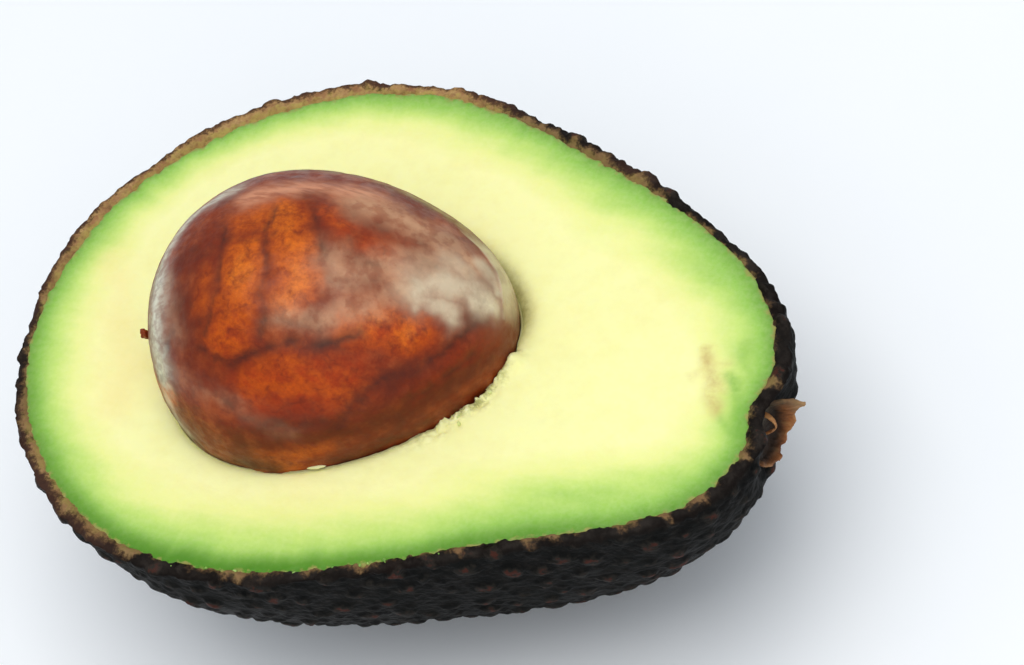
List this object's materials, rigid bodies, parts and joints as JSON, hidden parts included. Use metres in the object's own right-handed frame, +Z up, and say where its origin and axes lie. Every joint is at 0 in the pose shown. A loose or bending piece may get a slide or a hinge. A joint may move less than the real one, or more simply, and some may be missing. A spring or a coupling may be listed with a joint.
{
  "type": "avocado half",
  "caption": "Ripe avocado cut lengthwise: pebbly dark skin, green-edged yellow flesh, glossy brown seed in its hollow and a torn stem collar, lying face up on a small flat spot.",
  "frame": {"origin": "middle of the small flat spot under the skin, on the surface that the half rests on", "axes": "+Z up, along the cut face's outward normal; +X along the fruit from the round blossom end to the stem end; +Y to the left of +X"},
  "size_m": [0.1013, 0.0759, 0.0567],
  "materials": {
    "skin": "near-black pebbled peel, semi-gloss, reddish brown on the pebble tips, tan where it is cut",
    "flesh": "soft moist flesh, cream yellow in the middle, green towards the skin",
    "seed": "smooth mottled orange-brown seed coat with dark veins, a silvery film and a soft gloss",
    "stem": "dry torn woody rim, tan and rust, dark inside"
  },
  "bodies": {
    "root": {"skin": "skin", "flesh": "flesh", "seed": "seed", "stem_collar": "stem"}
  },
  "joints": []
}
